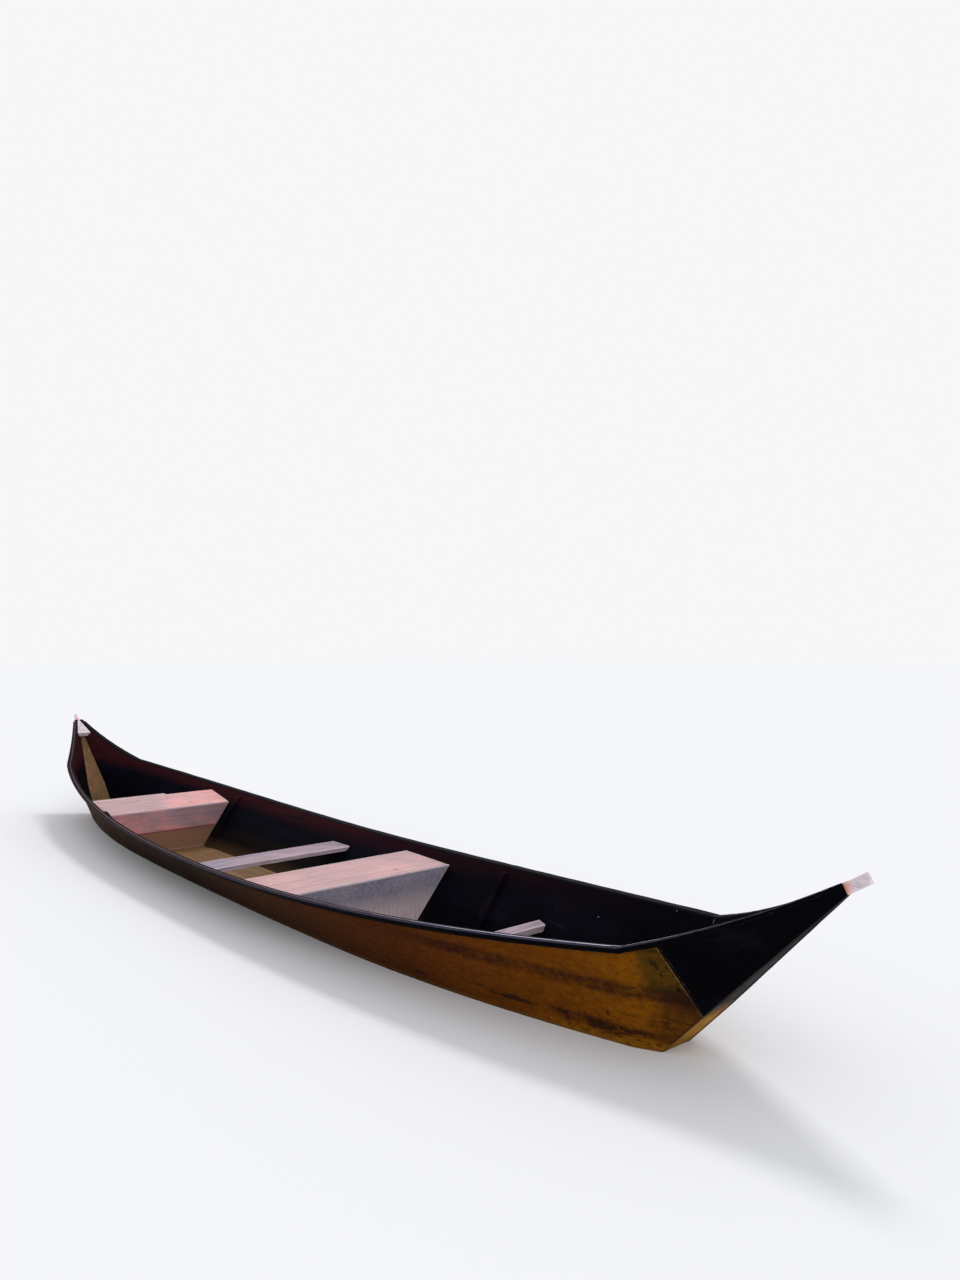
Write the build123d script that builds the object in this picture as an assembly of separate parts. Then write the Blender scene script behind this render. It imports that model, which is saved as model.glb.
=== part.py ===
from build123d import *
from collections import namedtuple
from math import cos, hypot, radians, sin
import os

os.makedirs("parts", exist_ok=True)

# A flat-bottomed, double-ended boat of sawn planks, with two box seats and a middle thwart.
# Millimetres: X runs to the bow, Y to port, Z up from the underside of the flat bottom.

# Driving sizes of the hull, measured to the planks' outer faces.
knuckle_x = 3035              # where the sheer breaks upwards, from amidships
bend_x = 2950                 # where the flat bottom breaks into the ramp
gunwale_mid_half = 633        # half the beam at the gunwale, amidships
gunwale_knuckle_half = 290
gunwale_mid_z = 365
gunwale_knuckle_z = 536
bottom_mid_half = 284         # half the width of the flat bottom
bottom_bend_half = 92
bottom_taper_x = 1200         # the flat bottom keeps its width up to here
beam_fullness = 2.4           # powers that shape the plan, the sheer and the bottom
sheer_fullness = 2.0
bottom_fullness = 2.1
slice_share = 1 / 4           # slices of the open hull, as a share of the way to the knuckle

# Thicknesses.
side_thick = 22
bottom_thick = 24
ramp_thick = 22
seat_thick = 24
panel_thick = 20

# Joints between the boards.
butt_x = 1534                 # butt between the middle side board and the end boards
sheer_board_z = 373           # level top edge of the lower side board
bottom_seam_y = 87            # seams beside the centre bottom board

# Prow, a flat board on each side that leans in to the stem: x, half width, height of its corners.
Corner = namedtuple("Corner", "x half z")
seam_top = Corner(3153, 243, 578)
seam_foot = Corner(3246, 84, 305)
tip_top = Corner(3716, 37, 850)
tip_foot = Corner(3735, 12, 814)
sheer_sag = 13                # how far the prow's sheer hangs below a straight line
ramp_top_x = 3640             # the ramp ends here, where the prow boards close over it

# Rub rail and ribs.
rail_proud = 21
rail_deep = 38                # up to the butts, then less and less to the knuckle and to the end
rail_knuckle_deep = 28
rail_end_deep = 18
rail_end_proud = 10
rail_end_x = 3692
rail_step = 3                 # how far the rail's top lies under the top of the side
rib_wide = 44
rib_deep = 22
rib_below_gunwale = 34

# Stem head, a tongue of wood held between the prow boards.
head_slope = radians(33)
head_deep = 38
head_wide = 20
head_out = 92
head_in = 190

# Crosswise pieces: x of the after face, x of the forward face, height of the top at each.
Span = namedtuple("Span", "aft fore z_aft z_fore")
fore_seat = Span(589, 1044, 327, 327)
aft_seat = Span(-1931, -1631, 390, 330)
edge_board = Span(-1991, -1931, 390, 390)
edge_board_end_y = 95
thwart = Span(-165, 38, 265, 265)
thwart_thick = 27
bow_beam = Span(1931, 1991, 250, 242)
beam_thick = 33
cleat_deep = 40
cleat_wide = 26

wide = 2000                   # larger than the hull's height and beam, for cutting blocks
far = 2 * knuckle_x
ramp_rise = (tip_foot.z - seam_foot.z) / (tip_foot.x - seam_foot.x)
Slice = namedtuple("Slice", "x_low half_low z_low x_high half_high z_high wall_low wall_high")


def main_slice(u):
    # One slanted slice of the open hull: u is -1 at the stern knuckle and 1 at the bow knuckle.
    a = abs(u)
    taper = max(0, (a * bend_x - bottom_taper_x) / (bend_x - bottom_taper_x))
    half_low = bottom_mid_half - (bottom_mid_half - bottom_bend_half) * taper ** bottom_fullness
    half_high = gunwale_mid_half - (gunwale_mid_half - gunwale_knuckle_half) * a ** beam_fullness
    z_high = gunwale_mid_z + (gunwale_knuckle_z - gunwale_mid_z) * a ** sheer_fullness
    wall = side_thick * hypot(z_high, half_high - half_low) / z_high
    return Slice(u * bend_x, half_low, 0, u * knuckle_x, half_high, z_high, wall, wall)


def flat_face(proud_root, proud_tip):
    # The plane of the prow board's outer face, moved out by these amounts at the seam and at the tip.
    rows = (seam_foot, proud_root), (seam_top, proud_root), (tip_top, proud_tip)
    plane = Plane(Face(Wire.make_polygon([Vector(c.x, c.half + out, c.z) for c, out in rows])))
    return plane if plane.z_dir.Y > 0 else -plane


steps = round(1 / slice_share)
main_slices = [main_slice(i * slice_share) for i in range(-steps, steps + 1)]
knuckle = main_slices[-1]
prow_outside = flat_face(0, 0)
prow_inside = prow_outside.offset(-side_thick)
prow_wall = side_thick / prow_outside.z_dir.Y
seam = Slice(seam_foot.x, seam_foot.half, seam_foot.z, seam_top.x, seam_top.half, seam_top.z, prow_wall, prow_wall)


def place(cut, share, outwards=0):
    # Point on the port side of a slice: share 0 at the lower edge, 1 at the gunwale.
    return Vector(
        cut.x_low + (cut.x_high - cut.x_low) * share,
        cut.half_low + (cut.half_high - cut.half_low) * share + outwards,
        cut.z_low + (cut.z_high - cut.z_low) * share,
    )


def across(point):
    return Vector(point.X, -point.Y, point.Z)


def body(slices, inside):
    # Solid of the hull's whole section, out to the planks' outer faces or to their inner ones.
    wires = []
    for cut in slices:
        if inside:
            cut = cut._replace(half_low=cut.half_low - cut.wall_low, half_high=cut.half_high - cut.wall_high)
        low, high = place(cut, -0.08 if inside else 0), place(cut, 1.15 if inside else 1)
        wires.append(Wire.make_polygon([across(low), low, high, across(high)], close=True))
    return Solid.make_loft(wires)


def block(x0, x1, y0, y1, z0, z1):
    return Pos((x0 + x1) / 2, (y0 + y1) / 2, (z0 + z1) / 2) * Box(x1 - x0, y1 - y0, z1 - z0)


def profile(points, y0=-wide, y1=wide):
    # A side view drawn in the X-Z plane, made solid from y0 to y1.
    face = make_face(Polyline([(x, y1, z) for x, z in points], close=True))
    return extrude(face, amount=y1 - y0, dir=(0, -1, 0))


def between(shape, inside, outside):
    return split(split(shape, inside, keep=Keep.TOP), outside, keep=Keep.BOTTOM)


def sides(name, shape):
    # A port piece and its likeness to starboard.
    return {f"{name}_port": shape, f"{name}_starboard": mirror(shape, about=Plane.XZ)}


def ends(name, shape):
    # A bow piece and its likeness at the stern.
    return {f"{name}_bow": shape, f"{name}_stern": mirror(shape, about=Plane.YZ)}


def corners(name, shape):
    # A port bow piece and its three likenesses.
    pieces = {}
    for end, piece in ends(name, shape).items():
        pieces |= sides(end, piece)
    return pieces


main_outer = body(main_slices, False)
main_inner = body(main_slices, True)
root_outer = body([knuckle, seam], False)
root_inner = body([knuckle, seam], True)


def down(corner, foot, drop):
    # A point straight below the sheer's end, moved along the end of the board.
    return Vector(corner.x + (foot.x - corner.x) * drop / (corner.z - foot.z), 0, corner.z - drop)


def sheer_arc(drop_root, drop_tip):
    root, tip = down(seam_top, seam_foot, drop_root), down(tip_top, tip_foot, drop_tip)
    run = tip - root
    return ThreePointArc(root, (root + tip) * 0.5 + Vector(run.Z, 0, -run.X) * (sheer_sag / run.length), tip)


def prow_from_side(outline):
    return extrude(make_face(outline), amount=wide, dir=(0, 1, 0))


def prow_board(head):
    sheer = sheer_arc(0, 0)
    foot, tip = Vector(seam_foot.x, 0, seam_foot.z), Vector(tip_foot.x, 0, tip_foot.z)
    outline = sheer + Polyline(sheer @ 1, tip, foot, sheer @ 0)
    return between(prow_from_side(outline), prow_inside, prow_outside) - head


def stem_head():
    # Wedge-shaped where it fills the V between the prow boards, then a straight tongue beyond their ends.
    start = Plane(origin=(tip_foot.x, 0, tip_foot.z), x_dir=(cos(head_slope), 0, sin(head_slope)), z_dir=(0, -1, 0))
    held = start * Pos(-head_in / 2, head_deep / 2) * Rectangle(head_in, head_deep)
    whole = start * Pos((head_out - head_in) / 2, head_deep / 2) * Rectangle(head_in + head_out, head_deep)
    half_wedge = split(extrude(held, amount=-wide), prow_inside, keep=Keep.BOTTOM)
    return half_wedge + mirror(half_wedge, about=Plane.XZ) + extrude(whole, amount=head_wide / 2, both=True)


def side_boards(head):
    skin = (main_outer - main_inner) & block(-far, far, 0, wide, 0, wide)
    root = (root_outer - root_inner) & block(0, far, 0, wide, 0, wide)
    end = (skin & block(butt_x, far, 0, wide, 0, wide)) + root
    above = block(0, far, 0, wide, sheer_board_z, wide)
    pieces = sides("side_board_mid", skin & block(-butt_x, butt_x, 0, wide, 0, wide))
    pieces |= corners("side_board", end - above) | corners("sheer_board", end & above)
    return pieces | corners("prow_board", prow_board(head))


def bottom_boards():
    floor = main_inner & block(-far, far, -wide, wide, 0, bottom_thick)
    centre = floor & block(-far, far, -bottom_seam_y, bottom_seam_y, 0, bottom_thick)
    return {"bottom_board_centre": centre} | sides("bottom_board", floor & block(-far, far, bottom_seam_y, wide, 0, wide))


def ramp():
    # The raked end of the bottom, between the sides at first and then between the prow boards.
    lift = ramp_thick * hypot(1, ramp_rise)
    start_lean = (knuckle.x_high - knuckle.x_low) / knuckle.z_high
    seam_lean = (seam_top.x - seam_foot.x) / (seam_top.z - seam_foot.z)
    start = (knuckle.x_low, 0), (knuckle.x_low + start_lean * lift, lift)
    join = (seam_foot.x, seam_foot.z), (seam_foot.x + seam_lean * lift, seam_foot.z + lift)
    end_z = seam_foot.z + (ramp_top_x - seam_foot.x) * ramp_rise
    lower = profile([start[0], join[0], join[1], start[1]]) & root_inner
    upper = profile([join[0], (ramp_top_x, end_z), (ramp_top_x, end_z + lift), join[1]], y0=0)
    upper = split(upper, prow_inside, keep=Keep.BOTTOM)
    return lower + upper + mirror(upper, about=Plane.XZ)


def rail(slices):
    # Batten outside the top of the side: it starts 5 mm inside the plank and is cut back to its face.
    wires = []
    for cut in slices:
        height = cut.z_high - cut.z_low
        taper = min(1, max(0, (abs(cut.x_high) - butt_x) / (knuckle_x - butt_x)))
        deep = rail_deep - (rail_deep - rail_knuckle_deep) * taper
        low, top = 1 - deep / height, 1 - rail_step / height
        points = [place(cut, low, -5), place(cut, low, rail_proud), place(cut, top, rail_proud), place(cut, top, -5)]
        wires.append(Wire.make_polygon(points, close=True))
    return Solid.make_loft(wires)


def rails():
    whole = rail(main_slices) - main_outer
    pieces = sides("rub_rail_mid", whole & block(-butt_x, butt_x, 0, wide, 0, wide))
    pieces |= corners("rub_rail", whole & block(butt_x, far, 0, wide, 0, wide))
    # Along the flat prow board the batten thins towards the stem.
    top, low = sheer_arc(rail_step, rail_step), sheer_arc(rail_knuckle_deep, rail_end_deep)
    band = prow_from_side(top + low + Line(top @ 0, low @ 0) + Line(top @ 1, low @ 1))
    run = between(band, prow_outside, flat_face(rail_proud, rail_end_proud)) & block(0, rail_end_x, 0, wide, 0, wide)
    return pieces | corners("prow_rail", (rail([knuckle, seam]) - root_outer) + run)


def butt_rib():
    # A short upright that backs the butt, cut to the flare of the side.
    cut = main_slice(butt_x / knuckle_x)
    low = bottom_thick / cut.z_high
    high = 1 - rib_below_gunwale / cut.z_high
    points = [place(cut, low, -cut.wall_low - rib_deep), place(cut, low), place(cut, high),
              place(cut, high, -cut.wall_high - rib_deep * 0.7)]
    face = make_face(Polyline([(butt_x, p.Y, p.Z) for p in points], close=True))
    return extrude(face, amount=rib_wide / 2, dir=(1, 0, 0), both=True) & main_inner


def board(span, thick, y1=wide):
    # A board across the hull, cut to the flare of its sides.
    top = [(span.aft, span.z_aft), (span.fore, span.z_fore)]
    return profile(top + [(x, z - thick) for x, z in reversed(top)], y1=y1) & main_inner


def seat(name, span):
    # A closed box across the boat: the front board stands up to the top's surface.
    slope = (span.z_fore - span.z_aft) / (span.fore - span.aft)
    join = Span(span.aft, span.fore - panel_thick, span.z_aft, span.z_fore - slope * panel_thick)
    front = [(join.fore, bottom_thick), (span.fore, bottom_thick), (span.fore, span.z_fore), (join.fore, join.z_fore)]
    under = span.z_aft - seat_thick
    back_x = span.aft + panel_thick
    back = [(span.aft, bottom_thick), (back_x, bottom_thick), (back_x, under + slope * panel_thick), (span.aft, under)]
    return {
        f"{name}_top": board(join, seat_thick),
        f"{name}_front": profile(front) & main_inner,
        f"{name}_back": profile(back) & main_inner,
    }


def crosspieces():
    under = thwart.z_aft - thwart_thick
    cut = main_slice(0)
    wall_y = place(cut, under / cut.z_high, -cut.wall_low).Y
    cleat = block(thwart.aft + 5, thwart.fore - 5, wall_y - cleat_wide, wide, under - cleat_deep, under) & main_inner
    return sides("thwart_cleat", cleat) | {
        "thwart": board(thwart, thwart_thick),
        "bow_beam": board(bow_beam, beam_thick),
        "aft_seat_edge_board": board(edge_board, seat_thick, y1=edge_board_end_y),
    }


head = stem_head()
pieces = side_boards(head) | bottom_boards() | ends("ramp", ramp()) | ends("stem_head", head) | rails()
pieces |= corners("butt_rib", butt_rib()) | seat("fore_seat", fore_seat) | seat("aft_seat", aft_seat) | crosspieces()

for name, shape in pieces.items():
    export_step(shape, f"parts/{name}.step")
print(len(pieces), "pieces,", round(sum(shape.volume for shape in pieces.values()) / 1e9, 4), "cubic metres of wood")
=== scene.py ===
import math

import bpy
import numpy as np
from mathutils import Matrix, Vector


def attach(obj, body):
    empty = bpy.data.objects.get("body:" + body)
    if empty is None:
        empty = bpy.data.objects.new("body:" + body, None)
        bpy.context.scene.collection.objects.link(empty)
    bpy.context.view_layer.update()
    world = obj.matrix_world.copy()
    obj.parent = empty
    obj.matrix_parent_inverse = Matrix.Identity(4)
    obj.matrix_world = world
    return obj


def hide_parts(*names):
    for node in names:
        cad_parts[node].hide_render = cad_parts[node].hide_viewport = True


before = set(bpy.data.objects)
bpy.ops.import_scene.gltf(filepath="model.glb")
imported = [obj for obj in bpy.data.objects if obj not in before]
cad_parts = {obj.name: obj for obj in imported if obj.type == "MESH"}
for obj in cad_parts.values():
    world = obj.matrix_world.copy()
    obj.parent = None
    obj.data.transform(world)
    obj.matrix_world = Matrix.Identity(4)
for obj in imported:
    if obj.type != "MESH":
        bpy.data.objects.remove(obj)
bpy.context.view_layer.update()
scene = bpy.context.scene
scene.view_settings.view_transform = "Standard"
print("frame loaded,", len(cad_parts), "solids")

# Metres: x runs to the bow, y to port, z up from the underside of the flat bottom.
# The planks' outer faces, from amidships (v = 0) to the knuckle (1), the prow seam (2) and the stem (3).
hull = dict(
    footX=2.950, kneeX=3.035, buttX=1.534,  # breaks of the bottom and of the gunwale, and the butts
    beamHalf=0.633, kneeHalf=0.290, beamPower=2.4,
    sheerZ=0.365, kneeZ=0.536, sheerPower=2.0,
    bottomHalf=0.284, bendHalf=0.092, taperX=1.200, taperPower=2.1,
    seamFoot=(3.246, 0.084, 0.305), seamTop=(3.153, 0.243, 0.578),
    tipFoot=(3.735, 0.012, 0.814), tipTop=(3.716, 0.037, 0.850),
    sag=0.013, plank=0.022, sheerBoardZ=0.373,
)
water = dict(z=0.115, trim=-0.0054, heel=0.0023, x=3.035)  # the surface, a little out of level with the boat
kneeX, footX, plank = hull["kneeX"], hull["footX"], hull["plank"]
butt = hull["buttX"] / kneeX  # station of the butts
bothSides = (("port", 1), ("starboard", -1))
bothEnds = (("bow", 1), ("stern", -1))
quarters = [(end, side, sx, sy) for end, sx in bothEnds for side, sy in bothSides]


def along(a, b, share):
    # Straight line from a to b.
    return a + (b - a) * share


# The flat prow board lies in the plane through three of its corners: y = a x + b z + c.
prowPlane = np.linalg.solve([[hull[k][0], hull[k][2], 1] for k in ("seamFoot", "seamTop", "tipTop")],
                            [hull[k][1] for k in ("seamFoot", "seamTop", "tipTop")])
prowWall = plank * math.hypot(1, *prowPlane[:2])  # its thickness, measured along y


def prowHalf(x, z):
    return prowPlane[0] * x + prowPlane[1] * z + prowPlane[2]


def sheerHeight(u):
    return along(hull["sheerZ"], hull["kneeZ"], u ** hull["sheerPower"])


def edges(v):
    # Lower and upper edge of the port planking at v: power curves to the knuckle, then straight, with a sag.
    u = np.minimum(v, 1)
    taper = np.maximum(0, (u * footX - hull["taperX"]) / (footX - hull["taperX"]))
    footHalf = along(hull["bottomHalf"], hull["bendHalf"], taper ** hull["taperPower"])
    low = np.stack([u * footX, footHalf, 0 * u], -1)
    topHalf = along(hull["beamHalf"], hull["kneeHalf"], u ** hull["beamPower"])
    high = np.stack([u * kneeX, topHalf, sheerHeight(u)], -1)
    w, s = np.clip(v - 1, 0, 1)[..., None], np.clip(v - 2, 0, 1)[..., None]
    foot, top, tipFoot, tipTop = (np.array(hull[k]) for k in ("seamFoot", "seamTop", "tipFoot", "tipTop"))
    run = tipTop - top
    down = np.array([run[2], 0, -run[0]]) / math.hypot(run[0], run[2]) * hull["sag"]
    low = along(along(low, foot, w), tipFoot, s)
    high = along(along(high, top, w), tipTop, s) + down * 4 * s * (1 - s)
    return low, high


def shareAt(v, z):
    # Share of the planking's height that lies at z.
    low, high = edges(np.abs(v))
    return (z - low[..., 2]) / (high[..., 2] - low[..., 2])


def wallAcross(rise):
    # The leaning plank's thickness, measured along y.
    return plank * np.hypot(rise[..., 2], rise[..., 1]) / rise[..., 2]


def skin(v, t):
    # Point of the outer face at station v and share t of the height, the plank's thickness along y, and its
    # height. Stations are upright up to the butts and lean at the knuckle.
    side, v = np.where(v < 0, -1, 1), np.abs(v)
    square = 1 - np.clip((v - butt) / (1 - butt), 0, 1)
    lean = kneeX / along(footX, kneeX, t) - 1
    v = np.where(v < 1, v * (1 + lean * square), v)
    low, high = edges(v)
    point = along(low, high, t[..., None])
    point[..., 1] = np.where(v > 2, prowHalf(point[..., 0], point[..., 2]), point[..., 1])
    rise = high - low
    wall = along(wallAcross(rise), prowWall, np.clip(v - 1, 0, 1))
    point[..., 0] *= side
    return point, wall, np.linalg.norm(rise, axis=-1)


def innerHalf(x, z, gap=0.0):
    # Half width between the planks at x and z, for |x| short of the knuckle: the slice is found by stepping.
    x = np.abs(x)
    u = x / kneeX
    for _ in range(8):
        t = z / sheerHeight(u)
        u = x / along(footX, kneeX, t)
    low, high = edges(u)
    return along(low, high, t[..., None])[..., 1] - wallAcross(high - low) - gap


def wave(x, size, seed):
    # Slow unevenness of hand-planed wood: four sines of odd lengths.
    rng = np.random.default_rng(seed)
    turns, starts = rng.uniform(2.5, 26, 4), rng.uniform(0, 6.28, 4)
    return size * sum(np.sin(x * k + p) / (1 + i * 0.6) for i, (k, p) in enumerate(zip(turns, starts))) / 2


def doubled(row):
    # The first and the last number twice, for the rings that close the ends.
    return np.concatenate([row[:1], row, row[-1:]])


def twoRuns(a, b, n, c, m):
    # n places from a to b and m on to c, with b once.
    return np.concatenate([np.linspace(a, b, n), np.linspace(b, c, m)[1:]])


def roundedRing(radii, faceCuts=(10, 2, 10, 2), arc=4, owners=(0, 0, 2, 2), worn=(0.6, 0.6, 1.0, 0.6)):
    # Section of a board as (f, e, g, h): across = f * width + e, depth = g * thickness + h; f and g are 0 or
    # 1 at the corners, so the rounding keeps its size where the board tapers. Also gives each corner's wear,
    # and the face: 0 outer, 1 upper edge, 2 inner, 3 lower edge. A row of points at hold from each rounding
    # keeps wide faces flat.
    corners, hold = [(0, 0), (1, 0), (1, 1), (0, 1)], 0.004
    turn = np.linspace(0, math.pi / 2, arc + 1)
    s, c = 1 - np.sin(turn), 1 - np.cos(turn)
    rows = []
    for i, (f, g) in enumerate(corners):
        (nf, ng), r, nr = corners[(i + 1) % 4], radii[i], radii[(i + 1) % 4]
        de, dh = (s, c) if i % 2 else (c, s)
        rows.append((f, de * r * (1 - 2 * f), g, dh * r * (1 - 2 * g), worn[i], owners[i]))
        share = np.linspace(0, 1, faceCuts[i] + 2)[1:-1]
        if f != nf:
            share = np.concatenate([[0], share, [1]])
            support = np.zeros(len(share))
            support[[0, -1]] = hold, -hold
            e = along(r * (1 - 2 * f), nr * (1 - 2 * nf), share) + support * (nf - f)
            rows.append((along(f, nf, share), e, g, 0, 0, i))
        else:
            rows.append((f, 0, along(g, ng, share), along(r * (1 - 2 * g), nr * (1 - 2 * ng), share), 0, i))
    f, e, g, h, wear, face = np.concatenate([np.stack(np.broadcast_arrays(*row), -1) for row in rows]).T
    return f, e, g, h, wear, face.astype(int)


def newMesh(name, points, polygons):
    mesh = bpy.data.meshes.new(name)
    mesh.from_pydata(points.reshape(-1, 3).tolist(), [], polygons)
    return mesh


def newObject(name, data):
    made = bpy.data.objects.new(name, data)
    scene.collection.objects.link(made)
    return made


def ringFaces(n, m):
    # Four-sided faces between n rings of m points.
    i, j = np.meshgrid(np.arange(n - 1), np.arange(m), indexing="ij")
    k = (j + 1) % m
    return np.stack([i * m + j, i * m + k, (i + 1) * m + k, (i + 1) * m + j], -1).reshape(-1, 4)


sharpEdge = math.radians(40)  # faces that meet at more than this keep a crisp edge


def addMesh(name, points, wear, use, chamfer=0.0, kinds=0, across=None):
    # Closed tube from a grid of rings (stations, ring, xyz), with flat ends whose rings are pulled in towards
    # their centres by the chamfer. Kinds tells which of the paints named in use each face round the ring has,
    # and across is the share through the board, 0 outside.
    n, m = points.shape[:2]
    for row in (0, -1):
        away = points[row] - points[row].mean(0)
        size = np.linalg.norm(away, axis=-1, keepdims=True)
        points[row] -= away / np.maximum(size, 1e-6) * np.minimum(chamfer, size * 0.5)
    quads, flat = ringFaces(n, m), points.reshape(-1, 3)
    a, b, c, d = (flat[quads[:, q]] - flat.mean(0) for q in range(4))
    volume = (a * (np.cross(b, c) + np.cross(c, d))).sum()
    polygons = quads.tolist() + [list(range(m))[::-1], [(n - 1) * m + q for q in range(m)]]
    kinds = np.tile(np.broadcast_to(kinds, m), n - 1).tolist()
    mesh = newMesh(name, points, [p[::-1] for p in polygons] if volume < 0 else polygons)
    for key, value in (("wear", wear), ("across", across)):
        if value is not None:
            each = np.broadcast_to(value, (n, m)).reshape(-1).astype(float)
            mesh.attributes.new(key, "FLOAT", "POINT").data.foreach_set("value", each)
    mesh.polygons.foreach_set("material_index", kinds + [kinds[0]] * 2)
    mesh.shade_smooth()
    mesh.set_sharp_from_angle(angle=sharpEdge)
    for paint in use:
        mesh.materials.append(paints[paint])
    mesh.validate()
    mesh.update()
    return newObject(name, mesh)


# Node helpers. They add to the tree in hand, and patterns read object coordinates, the boat's own metres.
inHand = {}


def feed(socket, value):
    if isinstance(value, bpy.types.NodeSocket):
        inHand["tree"].links.new(value, socket)
    else:
        socket.default_value = value


def put(kind, ins=(), **settings):
    made = inHand["tree"].nodes.new("ShaderNode" + kind)
    for key, value in settings.items():
        setattr(made, key, value)
    for key, value in dict(ins).items():
        feed(made.inputs[key], value)
    return made


def tint(colour):
    # A colour of three numbers, 0 to 255 as on screen, made linear. Anything else stays as it is.
    if not isinstance(colour, tuple) or len(colour) != 3:
        return colour
    c = np.array(colour) / 255
    return (*np.where(c <= 0.04045, c / 12.92, ((c + 0.055) / 1.055) ** 2.4).tolist(), 1.0)


def noise(stretch, detail=5.0, rough=0.55, skew=0.0, shift=(0, 0, 0)):
    moved = put("Mapping", {"Vector": inHand["where"], "Scale": stretch, "Location": shift}).outputs[0]
    return put("TexNoise", {"Vector": moved, "Scale": 1.0, "Detail": detail, "Roughness": rough,
                                      "Distortion": skew}).outputs[0]


def fade(value, start, stop, full=1.0, least=0.0):
    # From least at the start to full at the stop, and level beyond both.
    return put("MapRange", {"Value": value, "From Min": start, "From Max": stop, "To Min": least,
                                      "To Max": full}).outputs[0]


def calc(operation, a, b=0.0):
    return put("Math", {0: a, 1: b}, operation=operation).outputs[0]


def plus(a, b):
    return calc("ADD", a, b)


def minus(a, b):
    return calc("SUBTRACT", a, b)


def times(first, *others):
    for other in others:
        first = calc("MULTIPLY", first, other)
    return first


def stir(value, pattern, size):
    # The value, moved up and down by a noise.
    return plus(value, times(minus(pattern, 0.5), size))


def band(value, centre, half, soft):
    # 1 within half of the centre, falling to 0 over soft.
    return fade(calc("ABSOLUTE", minus(value, centre)), half + soft, half)


def grade(value, stops):
    # Colours, or levels from 0 to 1, by position: stops rise from the first to the last.
    low, high = stops[0][0], stops[-1][0]
    made = put("ValToRGB", {"Fac": fade(value, low, high)})
    marks = [(at, tint(level) if isinstance(level, tuple) else (*[level] * 3, 1.0)) for at, level in stops]
    points = made.color_ramp.elements
    points[0].color, points[-1].color = marks[0][1], marks[-1][1]
    for at, level in marks[1:-1]:
        points.new((at - low) / (high - low)).color = level
    return made.outputs["Color"]


def spot(ragged, mark, soft, level=False):
    # Oval mark at x, z on a side or x, y on a level face, turned in its plane; a noise breaks up its edge.
    x, y, a, b, turn = mark
    far = 1000
    place = dict(Location=(x, 0, y), Rotation=(0, turn, 0), Scale=(a, far, b))
    if level:
        place = dict(Location=(x, y, 0), Rotation=(0, 0, turn), Scale=(a, b, far))
    moved = put("Mapping", {"Vector": inHand["where"], **place}, vector_type="TEXTURE").outputs[0]
    away = put("VectorMath", {0: moved}, operation="LENGTH").outputs["Value"]
    return fade(stir(away, ragged, 3.0), 1.0, 1.0 - soft)


def mix(amount, a, b):
    made = put("Mix", data_type="RGBA", blend_type="MIX")
    for k, value in ((0, amount), (6, tint(a)), (7, tint(b))):
        feed(made.inputs[k], value)
    return made.outputs[2]


def attribute(name):
    return put("Attribute", attribute_name=name).outputs["Fac"]


def paintStart(name):
    paint = bpy.data.materials.new(name)
    paint.use_nodes = True
    inHand.update(paint=paint, tree=paint.node_tree)
    inHand["where"] = put("TexCoord").outputs["Object"]
    return *put("SeparateXYZ", {"Vector": inHand["where"]}).outputs, attribute("wear")


def paintEnd(look, rough, height, first, *layers):
    # Lays colours over the first one. A layer is the factors of its strength, then its colour.
    # Colours may be names in look. Relief is the depth of the unevenness, in metres.
    colour = look.get(first, first)
    for *factors, over in layers:
        colour = mix(times(*factors), colour, look.get(over, over))
    bump = put("Bump", {"Strength": 1.0, "Distance": look["relief"], "Height": height}).outputs[0]
    shader = inHand["tree"].nodes["Principled BSDF"].inputs
    for key, value in (("Base Color", colour), ("Roughness", rough), ("Specular IOR Level", look["shine"])):
        feed(shader[key], value)
    feed(shader["Normal"], bump)
    return inHand["paint"]


def underSheer(x, z):
    # Height less the sheer's rise, z = rise * (x / kneeX) ^ 2, so that the top of the side is at sheerZ.
    return minus(z, times(x, x, (hull["kneeZ"] - hull["sheerZ"]) / kneeX ** 2))


def seamward(x, z):
    # Grows towards the slanting seam between side and prow, and is 0 on it.
    (lowX, _, lowZ), (highX, _, highZ) = hull["seamFoot"], hull["seamTop"]
    lean = (lowX - highX) / (highZ - lowZ)
    return minus(plus(calc("ABSOLUTE", x), times(z, lean)), lowX + lean * lowZ)


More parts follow.
